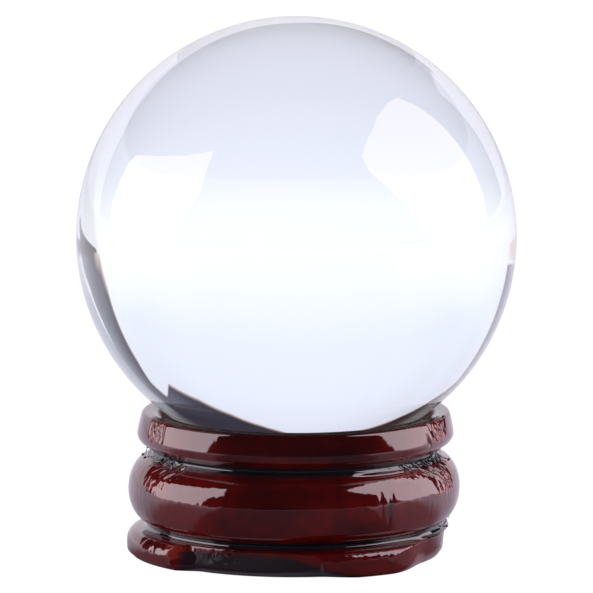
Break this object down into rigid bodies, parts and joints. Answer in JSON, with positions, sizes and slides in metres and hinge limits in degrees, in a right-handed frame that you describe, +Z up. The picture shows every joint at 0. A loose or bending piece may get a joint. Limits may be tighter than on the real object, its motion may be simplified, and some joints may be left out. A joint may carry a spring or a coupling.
{
  "type": "crystal ball",
  "caption": "Solid clear glass ball resting in the dished mouth of a small turned, dark red lacquered wooden stand with a scalloped foot.",
  "frame": {"origin": "centre of the stand's underside, on the axis that the ball and the stand share; the lowest plane of the object", "axes": "+Z up through the ball's centre; -Y towards the viewer, the side of the widest visible scallop in the foot; +X to the viewer's right, along the wood's grain"},
  "size_m": [0.04, 0.04, 0.0489],
  "materials": {
    "clear_glass": "polished, colourless, smooth",
    "lacquered_wood": "thick glossy dark red lacquer, black-green in the grooves"
  },
  "bodies": {
    "stand": {"wooden_stand": "lacquered_wood"},
    "ball": {"crystal_ball": "clear_glass"}
  },
  "joints": [
    {"name": "ball_lift", "type": "slide", "parent": "stand", "child": "ball", "axis": [0, 0, 1], "range_m": [0, 0.03]}
  ]
}
